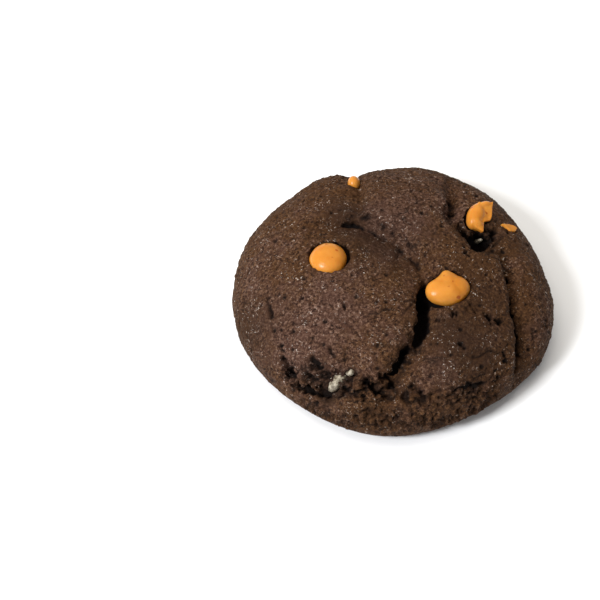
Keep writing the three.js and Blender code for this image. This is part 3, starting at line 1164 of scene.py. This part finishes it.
# Lines that more than one seam or crack follows
BACK_LINE: Plan = (
    (-15.5, 12.7), (-12.2, 12.7), (-8.5, 12.4), (-4.9, 9.8), (-1.6, 7.2), (1.4, 4.4),
    (3.8, 1.1), (5.7, -1.8), (6.9, -5.6),
)
RIGHT_LINE: Plan = (
    (15.6, 27), (16.0, 19.5), (14.4, 14.5), (17.2, 10.3), (20.0, 6.2), (21.8, 4.2), (24.2, 4.6), (26.4, 4.6),
    (28.1, 3.4), (28.9, 1.4), (29.4, -3.1), (29.8, -10.6), (30.6, -17.2), (31.4, -22.4), (31.0, -28.0),
)


@dataclass
class CookieBody:
    """The dough: a dome with plates, seams, open cracks, crags and a sandy crust."""

    dome: Dome
    chips: tuple[Chip, ...]
    tongues: tuple[Tongue, ...]
    swells: tuple[Spot, ...] = (
        Spot((-14.0, -13.0), 1.1, 15.0),
        Spot((5.0, 19.5), 0.7, 12.0),
        Spot((16.5, -24.0), 0.8, 9.0),
        Spot((35.0, -3.0), 0.7, 7.0),
        Spot((-17.0, 35.0), 1.8, 9.0),
        Spot((-3.0, 36.0), -1.1, 7.0),
        Spot((19.0, 35.0), -0.5, 8.0),
        # Crumbs over the back chip's foot and between the flecks of filling
        Spot((-11.6, 27.4), 0.9, 1.3),
        Spot((-14.6, -33.8), 0.7, 1.2),
    )
    # Painted shade on plates and slopes that face away from the lights and in the recess beside the right
    # chip, and a painted shadow in the valley at the back left
    shade_patches: tuple[Spot, ...] = (
        Spot((17.0, -25.0), 0.68, 11.0),
        Spot((22.0, -10.0), 0.3, 8.0),
        Spot((-8.0, 2.0), 0.38, 9.0),
        Spot((23.0, 8.5), 0.9, 5.5),
        Spot((-37.0, -15.0), 0.6, 9.0),
        Spot((-20.0, -31.0), 0.4, 5.0),
        Spot((3.0, 8.0), 0.15, 8.0),
        Spot((-11.5, 8.5), 0.3, 4.0),
        Spot((-6.0, 6.5), 0.35, 4.0),
        Spot((-1.5, 3.0), 0.35, 4.0),
        Spot((2.0, -1.0), 0.3, 4.0),
        Spot((-12.0, 15.0), 0.8, 6.0),
        Spot((11.0, -22.0), 0.3, 5.0),
    )
    # Painted sheen: greyer, paler crust on faces towards the front light
    sheen_spots: tuple[Spot, ...] = (
        Spot((-20.0, -20.0), 0.9, 17.0),
        Spot((-34.0, 0.0), 0.3, 12.0),
        Spot((-1.0, 8.0), 0.6, 8.0),
        Spot((8.0, 22.0), 0.5, 12.0),
        Spot((14.0, 17.0), 0.3, 7.0),
        Spot((8.0, -33.0), 0.4, 8.0),
        Spot((-5.0, 13.0), 0.5, 4.0),
        Spot((-1.0, 10.5), 0.4, 4.0),
        Spot((3.5, 7.0), 0.4, 4.0),
    )
    seams: tuple[Seam, ...] = (
        # Behind the left plate, and deeper at its left end
        Seam(BACK_LINE, 1.2, 1.0, 2.1, 2.2, 6.0, 1.4, patchy=0.9),
        Seam(BACK_LINE[:6], 1.7, 1.0, 2.1, 2.2, 6.0, taper=0.25, patchy=0.7),
        # Right of the left plate
        Seam(
            ((7.0, -5.5), (6.9, -10.6), (6.8, -16), (6.0, -21), (3.4, -26.5), (0.2, -31.5), (-2.8, -35.5)),
            1.0, 1.3, 2.3, 5.5, 3.0, -1.2,
        ),
        # From the back down the right side
        Seam(RIGHT_LINE, 2.2, 1.1, 1.8, 4.5, 1.9, -0.9, taper=0.08),
        # From the back edge to the left plate
        Seam(
            ((-8.5, 41.5), (-8.4, 31.3), (-8.3, 24.5), (-8.4, 17.6), (-8.8, 12.6)),
            0.9, 0.8, 1.1, 3.0, 5.0, 1.6, step_blend=0.3, taper=0.25,
        ),
        # Trench at the front left
        Seam(
            ((-29.6, -25.4), (-28.6, -27.0), (-26.8, -29.7), (-24.6, -32.4), (-21.6, -33.9), (-18.3, -34.8)),
            2.4, 0.9, 0.3, 2.0, 2.0, patchy=0.5,
        ),
    )
    cracks: tuple[Crack, ...] = (
        # Right of the left plate: the wide part, then the narrow one to the front
        Crack(
            ((8.2, -5.6), (7.0, -10.8), (6.8, -16), (6.3, -20), (5.2, -23.5), (3.6, -26.5)),
            2.1, 0.62, 14.8, -0.3, 0.6,
        ),
        Crack(
            ((4.2, -23.5), (1.6, -27.5), (-0.8, -31.2), (-2.6, -33.8), (-3.8, -35.6)),
            0.8, 0.5, 14.0, -0.3, 0.9,
        ),
        # Hole below the right chip
        Crack(((23.6, 12.6), (23.2, 10.0), (22.7, 6.6), (22.4, 3.6)), 2.4, 0.5, 14.5, 0.0, 0.6),
        # Right side, notch behind the left plate, and groove beside the right chip
        Crack(((24.0, 4.6), *RIGHT_LINE[7:]), 0.75, 0.55, 7.0, 0.15, 0.4),
        Crack(((-14.5, 12.8), (-12.2, 12.7), (-10.3, 12.7), (-8.3, 12.3)), 0.6, 0.5, 18.5, 0.3),
        Crack(((14.6, 17.4), (16.6, 14.8), (18.0, 12.2), (19.4, 9.6), (21.4, 7)), 0.6, 0.65, 17.5, 0.0, 0.8),
    )
    crags: tuple[Crag, ...] = (
        # Broken band along the front, and the lip below it
        Crag(
            ((-29.5, -26.5), (-25.3, -31), (-18, -35.2), (-9, -36.2), (2.5, -37.5), (9, -37.2)),
            2.8, 0.2, 1.3, 0.85, 1.9, (0.8, 0.7, 0.8),
        ),
        Crag(
            ((-24, -29.5), (-17, -32), (-9, -34), (-2, -35.4), (5, -35)),
            2.4, 0.3, 1.3, 0.85, 1.3, (0.9, 0.7, 0.7),
        ),
        Crag(((-26, -33.5), (-14, -40), (0, -41.5), (14, -39), (26, -31.5)), 3.2, -0.1, 0.85, 0.5, 1.0),
        Crag(((7, -37.4), (14, -36.2), (20, -34), (26, -29)), 1.8, 0.2, 1.0, 0.9, 1.5, (0.8, 0.7, 0.8)),
        # Beside the open crack
        Crag(((6.0, -24.5), (3.2, -28.5), (1.0, -32), (-1.0, -35.4)), 2.4, 0.7, 1.3, 0.9),
        Crag(((9.2, -16.6), (9.0, -21), (8.0, -25)), 1.3, 0.1, 1.0, 0.8),
        Crag(((7.6, -17.3), (11.3, -18.2), (15, -17)), 1.4, 0.3, 1.1, 0.9),
        # In front of and behind the middle chip, and along the lines behind the plates
        Crag(((17.4, -15.2), (20.6, -16.6), (23.6, -18.2), (27, -18.6)), 1.3, 0.5, 1.1, 1.0),
        Crag(((15.2, 25), (16.0, 19.5), (14.6, 14.5), (17.2, 10.6)), 1.5, 0.3, 1.1, 0.9),
        Crag(((-13, 12.8), (-8.5, 12.4), (-1.6, 7.2), (3.8, 1.1), (6.2, -3.4)), 1.5, 0.2, 1.0, 1.0, 1.2),
        Crag(((9.4, -4.6), (12.4, -5.4), (16, -5.8)), 1.2, 0.2, 0.9, 0.8),
        # Hole below the right chip
        Crag(((25.0, 12.0), (25.6, 8.6), (25.4, 4.6)), 2.2, 0.6, 1.2, 1.0),
    )
    pits: tuple[Pit, ...] = (
        # Left plate and left side
        Pit((-13.5, -16.6), (-13.5, -16.6), 0.65, 1.0),
        Pit((-32.8, -10.1), (-31.7, -15.3), 0.5, 0.8, 0.85),
        Pit((-20.1, -14.2), (-16.3, -15.6), 0.35, 0.5, 0.5),
        Pit((-26.1, -18.7), (-22.8, -18.9), 0.4, 0.5, 0.5),
        Pit((-17.2, -26.2), (-16.5, -27.8), 0.55, 0.9, 0.85),
        Pit((-21.4, -28.2), (-19.6, -30.0), 0.8, 1.2),
        # Trench at the front left
        Pit((-29.2, -22.9), (-28.9, -24.0), 0.5, 0.8),
        Pit((-28.9, -25.8), (-27.8, -28.2), 0.65, 1.1),
        Pit((-27.6, -28.6), (-24.9, -32.2), 0.85, 1.4),
        Pit((-24.2, -32.7), (-22.2, -33.9), 0.9, 1.5),
        Pit((-21.4, -34.2), (-20.6, -34.6), 0.6, 1.2),
        Pit((-19.6, -34.8), (-18.2, -35.8), 1.1, 2.0),
        Pit((-17.8, -35.4), (-17.2, -35.6), 0.5, 1.4),
        Pit((-22.6, -31.6), (-20.4, -32.4), 0.5, 0.8),
        Pit((-20.5, -35.9), (-20.4, -36.2), 0.45, 0.8),
        # Broken band along the front
        Pit((-13.6, -35.4), (-13.2, -36.0), 0.6, 1.1),
        Pit((-9.3, -37.2), (-9.0, -37.6), 0.6, 1.1),
        Pit((-8.6, -34.8), (-4.2, -37.2), 0.9, 1.8),
        Pit((-2.6, -34.2), (-1.6, -35.6), 1.3, 1.8),
        Pit((0.0, -31.0), (-2.4, -33.4), 0.5, 1.2),
        Pit((15.6, -34.4), (13.2, -35.4), 0.6, 0.9),
        Pit((17.4, -33.4), (16.6, -34.2), 0.7, 0.9),
        Pit((20.4, -32.6), (19.0, -33.4), 0.9, 0.9),
        # Right front plate and right side
        Pit((15.2, -25.1), (15.8, -26.3), 0.6, 0.7),
        Pit((26.3, -25.2), (27.0, -27.0), 0.6, 0.7),
        Pit((35.2, -16.6), (35.7, -19.4), 0.4, 0.4, 0.6),
        Pit((30.2, -15.0), (30.9, -20.4), 0.7, 1.2),
        Pit((31.0, -20.8), (31.4, -24.2), 1.1, 1.6),
        Pit((31.1, -24.8), (30.9, -27.2), 0.8, 1.3),
        # Round the hole below the right chip, and the groove behind it
        Pit((26.4, 11.6), (25.6, 8.6), 1.4, 1.4),
        Pit((21.2, 9.4), (20.8, 6.6), 1.0, 1.2),
        Pit((18.0, 1.0), (18.4, 0.4), 0.6, 0.8),
        Pit((15.6, 22.6), (15.9, 21.4), 0.7, 1.0),
        Pit((16.3, 18.8), (16.6, 17.6), 0.8, 1.0),
    )
    sand: Sand = Sand()
    fineness: int = 8
    voxel: float = 0.388
    smooth_below: float = 1.0
    relief_above: float = 5.0
    base_below: float = 0.2
    coarse_wander: tuple[float, float, int] = (0.8, 5.0, 3)
    fine_wander: tuple[float, float, int] = (0.35, 1.6, 2)
    fleck_length: float = 1.6
    patch_length: float = 9.0
    # Painted shadow in the gap round each chip
    socket_dark: float = 0.9
    socket_edge: Pair = (0.3, 0.85)
    fleck_depth: float = 0.8
    # Painted shade deep in the cracks under the plain dome, fading out low on the side
    dark_depths: Pair = (2.4, 3.8)
    dark_levels: Pair = (6.0, 9.0)
    # Painted shade, darker towards the bottom of the side
    side_shade: float = 0.1
    side_levels: Pair = (16.0, 6.0)
    side_waves: float = 2.0
    most_shade: float = 0.75
    tint_patches: float = 0.5
    tint_flecks: float = 0.4
    sheen_tint_range: Pair = (-0.2, 1.0)

    def build(self) -> bpy.types.Object:
        """Makes the dough's mesh.

        Returns:
            The dough.
        """
        shape = bmesh.new()
        add_ball(shape, self.dome.skin, self.fineness)
        piece = new_piece("cookie_dough", shape)
        plain = vertices(piece.data)
        normals = vertex_normals(piece.data)
        guide = plain + wander(plain, *self.coarse_wander) + wander(plain, *self.fine_wander)
        lift = self.plates(guide) * smoothstep(plain[:, 2], self.smooth_below, self.relief_above)
        formed = plain + normals * lift[:, None]
        for crack in self.cracks:
            formed = formed + crack.carve(formed, guide)
        for chip in self.chips:
            depth = chip.socket(plain, self.dome) * chip.socket_depth
            formed = formed - depth[:, None] * np.array(self.dome.normal(chip.at))
        place_vertices(piece.data, formed)
        remesh(piece, self.voxel)
        flatten_base(piece.data, self.base_below)
        self.crumble(piece.data)
        return piece

    def plates(self, points: Array) -> Array:
        """How far the crust rises over the plain dome.

        Args:
            points: places on the plain dome, in millimetres.

        Returns:
            One rise a point, negative in the seams.
        """
        rise = sum(swell.field(points, self.dome) for swell in self.swells)
        dips, steps = zip(*(seam.dip(points, self.dome) for seam in self.seams))
        return rise + sum(steps) - np.max(dips, axis=0)

    def crumble(self, mesh: bpy.types.Mesh) -> None:
        """Adds the cracked, pitted and sandy relief, and keeps at each place its painted shade, and its tint
        with painted sheen.

        Args:
            mesh: the dough's mesh, with its skin in even small faces.
        """
        points = vertices(mesh)
        normals = vertex_normals(mesh)
        fade = smoothstep(points[:, 2], self.smooth_below, self.relief_above)
        move, hollow_shade = self.sand.relief(points)
        raised = self.dome.surface(points)
        for feature in (*self.crags, *self.pits, *self.tongues):
            places = raised if isinstance(feature, Pit) else points
            rise, dark = feature.relief(places, self.dome)
            move = move + rise
            hollow_shade = np.maximum(hollow_shade, dark)
        # Painted shadow in the gap round each chip
        for chip in self.chips:
            socket = smoothstep(chip.socket(points, self.dome), *self.socket_edge)
            hollow_shade = np.maximum(hollow_shade, self.socket_dark * socket)
        flecks = bump_field(points, self.fleck_length, 2, Pattern.PATCH)
        # Painted shade deep in the cracks
        sunk = smoothstep(self.dome.depth(points) + self.fleck_depth * flecks, *self.dark_depths)
        hollow_shade = np.maximum(hollow_shade, sunk * smoothstep(points[:, 2], *self.dark_levels))
        place_vertices(mesh, points + normals * (move * fade)[:, None])
        patches = bump_field(points, self.patch_length, 2, Pattern.PATCH)
        # Painted shade: darker towards the bottom of the side, and in patches
        painted_shade = self.side_shade * smoothstep(points[:, 2] + self.side_waves * patches, *self.side_levels)
        for patch in self.shade_patches:
            painted_shade = painted_shade + patch.field(points, self.dome)
        # Painted sheen from the spots, over a tint that differs at random
        sheen_and_tint = sum(spot.field(points, self.dome) for spot in self.sheen_spots)
        sheen_and_tint = sheen_and_tint + self.tint_patches * patches + self.tint_flecks * flecks
        store(mesh, Layer.HOLLOW_SHADE, hollow_shade)
        store(mesh, Layer.PAINTED_SHADE, np.minimum(painted_shade, self.most_shade))
        store(mesh, Layer.SHEEN_TINT, smoothstep(sheen_and_tint, *self.sheen_tint_range))

    def dress(self, piece: bpy.types.Object, finish: bpy.types.Material) -> None:
        """Gives the dough its finish and its place in the frame."""
        put_in_frame(piece, finish, "cookie_body")


@dataclass
class Filling:
    """The pale filling: a lens through the middle with tongues that break through the crust."""

    dome: Dome
    tongues: tuple[Tongue, ...]
    radius: float = 26.0
    half_thickness: float = 4.0
    level: float = 10.5
    fineness: int = 6
    voxel: float = 0.4
    unevenness: float = 0.25
    uneven_length: float = 1.8

    def build(self) -> bpy.types.Object:
        """Makes the filling's mesh.

        Returns:
            The filling, with the lens and the tongues fused.
        """
        shape = bmesh.new()
        add_ball(shape, self.lens, self.fineness)
        for tongue in self.tongues:
            add_ball(shape, partial(tongue.points, dome=self.dome), self.fineness)
        piece = new_piece("filling_dressed", shape)
        remesh(piece, self.voxel)
        points = vertices(piece.data)
        uneven = self.unevenness * bump_field(points, self.uneven_length, 3, Pattern.CREAM)
        place_vertices(piece.data, points + vertex_normals(piece.data) * uneven[:, None])
        return piece

    def lens(self, directions: Array) -> Array:
        """Points of the lens for directions of a unit ball."""
        half = np.array([self.radius, self.radius, self.half_thickness])
        return directions * half + np.array([0.0, 0.0, self.level])

    def dress(self, piece: bpy.types.Object, finish: bpy.types.Material) -> None:
        """Gives the filling its finish and its place in the frame."""
        put_in_frame(piece, finish, "filling")


@dataclass(frozen=True)
class SoftLight:
    """A square soft light that faces the cookie."""

    name: str
    place: Triple
    size: float
    power: float
    colour: Triple
    glossy: bool = True

    def build(self) -> None:
        """Adds the light."""
        data = bpy.data.lights.new(self.name, "AREA")
        data.shape = "SQUARE"
        data.size = self.size
        data.energy = self.power
        data.color = self.colour
        lamp = bpy.data.objects.new(self.name, data)
        lamp.location = self.place
        lamp.rotation_euler = (-Vector(self.place)).to_track_quat("-Z", "Y").to_euler()
        lamp.visible_glossy = self.glossy
        bpy.context.scene.collection.objects.link(lamp)


@dataclass
class Studio:
    """Pale floor, soft lights and the camera at the photograph's angle.

    cookie_right and cookie_down are pixels from the middle of the picture to the cookie's.
    """

    elevation: float = 53.0
    distance: float = 0.3818
    lens: float = 85.0
    sensor: float = 36.0
    picture: float = 600.0
    cookie_right: float = 91.2
    cookie_down: float = 8.9
    floor_size: float = 6.0
    floor_colour: Colour = (0.9, 0.9, 0.9, 1.0)
    floor_roughness: float = 0.9
    sky_strength: float = 0.38
    lights: tuple[SoftLight, ...] = (
        SoftLight("key", (-0.20, 0.30, 0.92), 1.1, 8.0, (1.0, 0.95, 0.87), glossy=False),
        SoftLight("front", (-0.64, -0.40, 0.66), 0.28, 11.5, (0.95, 0.97, 1.0)),
    )

    def build(self) -> None:
        """Adds the floor, the lights, the sky and the camera."""
        self.floor()
        for light in self.lights:
            light.build()
        self.sky()
        self.camera()

    def floor(self) -> None:
        """Adds a plain pale floor."""
        shape = bmesh.new()
        bmesh.ops.create_grid(shape, x_segments=1, y_segments=1, size=self.floor_size / 2)
        floor = new_piece("floor", shape)
        kit = NodeKit("pale_floor")
        set_inputs(kit.shader, {"Base Color": self.floor_colour, "Roughness": self.floor_roughness})
        floor.data.materials.append(kit.material)

    def sky(self) -> None:
        """Sets an even, soft light from all round."""
        world = bpy.data.worlds.new("soft_sky")
        world.use_nodes = True
        set_inputs(world.node_tree.nodes["Background"], {"Color": WHITE, "Strength": self.sky_strength})
        bpy.context.scene.world = world

    def camera(self) -> None:
        """Places the camera so that the cookie lies in the frame as photographed."""
        tilt = math.radians(self.elevation)
        right = Vector((1.0, 0.0, 0.0))
        up = Vector((0.0, math.sin(tilt), math.cos(tilt)))
        back = Vector((0.0, -math.cos(tilt), math.sin(tilt)))
        pixel = self.distance * self.sensor / (self.lens * self.picture)
        aim = (up * self.cookie_down - right * self.cookie_right) * pixel
        data = bpy.data.cameras.new("photo_view")
        data.lens = self.lens
        data.sensor_width = self.sensor
        camera = bpy.data.objects.new("photo_view", data)
        turn = Matrix((right, up, back)).transposed().to_4x4()
        camera.matrix_world = Matrix.Translation(aim + back * self.distance) @ turn
        bpy.context.scene.collection.objects.link(camera)
        bpy.context.scene.camera = camera
        bpy.context.scene.view_settings.view_transform = "Standard"


CHIPS = (
    Chip(
        "chip_left", (-17.6, -0.3), (Blob((0.1, -0.6, -0.7), (4.8, 5.0, 3.3), 20.0),),
        socket_shift=(0.5, 0.7), socket_gap=0.6,
    ),
    Chip(
        "chip_middle", (12.9, -10.5),
        (
            Blob((-0.3, -0.3, -1.3), (5.5, 3.9, 3.2), 6.0),
            Blob((0.2, 1.2, -1.2), (3.6, 3.8, 3.0)),
            Blob((2.0, 0.6, -1.1), (3.7, 3.4, 2.9)),
            Blob((-1.5, 1.5, -1.1), (2.4, 2.2, 2.4), 30.0),
            Blob((-0.3, 3.5, -0.5), (1.7, 1.7, 1.7)),
        ),
        socket_shift=(-0.5, 0.1),
    ),
    Chip(
        "chip_right", (23.2, 15.6),
        (
            Slab(
                (
                    (-1.5, 3.3), (0.4, 3.2), (2.5, 4.3), (2.4, 2.4), (2.6, 0.2), (2.2, -1.2), (0.5, -2.0),
                    (0.5, -5.0), (-1.6, -4.2), (-2.4, -3.2), (-2.7, -1.6), (-2.5, 0.4), (-2.1, 2.2),
                ),
                0.6, 2.0,
            ),
            Blob((-1.5, -0.5, 0.3), (2.3, 3.8, 2.5), -12.0),
            Blob((-1.4, -2.5, 0.3), (2.5, 1.5, 2.4), -30.0),
            Blob((0.4, 3.0, 1.2), (2.0, 0.9, 1.2), 20.0),
            Blob((-0.6, 0.3, -0.6), (2.2, 2.6, 2.0)),
        ),
        tilt=30.0, folds=(Fold((1.5, -0.4), -0.4, 0.9),), socket_gap=0.1, rounding=4,
    ),
    Chip(
        "chip_edge", (31.3, 14.6),
        (
            Slab(
                (
                    (-3.2, -0.4), (-0.7, 0.7), (0.7, 1.0), (2.1, 0.8), (1.6, -0.7), (-0.2, -1.5),
                    (-1.9, -0.7),
                ),
                -0.9, 0.7,
            ),
            Blob((-0.2, -0.2, -0.9), (1.6, 0.9, 1.2), -20.0),
        ),
        tilt=20.0, socket_gap=0.0, socket_depth=0.5, rounding=4,
    ),
    Chip(
        "chip_back", (-10.0, 30.9), (Blob((0.0, -0.6, -1.0), (1.7, 2.2, 2.2)),),
        socket_gap=0.0, socket_depth=0.3, rounding=4,
    ),
)

TONGUES = (
    Tongue((-7.5, -16.0, 11.0), (-16.8, -35.0), 3.2, 1.9, (3.4, 2.0, 3.0), 0.3),
    Tongue((-6.2, -17.0, 11.0), (-12.5, -32.8), 1.5, 1.1, (1.0, 0.4, 1.2), 0.2, crater_depth=0.1),
    Tongue((19.5, 12.5, 10.8), (24.6, 10.2), 0.7, 0.6, (1.0, 0.0, 0.3), -3.1, crater_depth=0.0),
)


def main() -> None:
    """Builds the cookie piece by piece."""
    logging.basicConfig(level=logging.INFO, format="%(name)s: %(message)s")
    dome = Dome()
    dough = CookieBody(dome, CHIPS, TONGUES)
    dough.dress(dough.build(), DoughFinish().material())
    orange = ChipFinish().material()
    for chip in CHIPS:
        chip.dress(chip.build(dome), orange)
    filling = Filling(dome, TONGUES)
    filling.dress(filling.build(), FillingFinish().material())
    Studio().build()


if __name__ == "__main__":
    main()
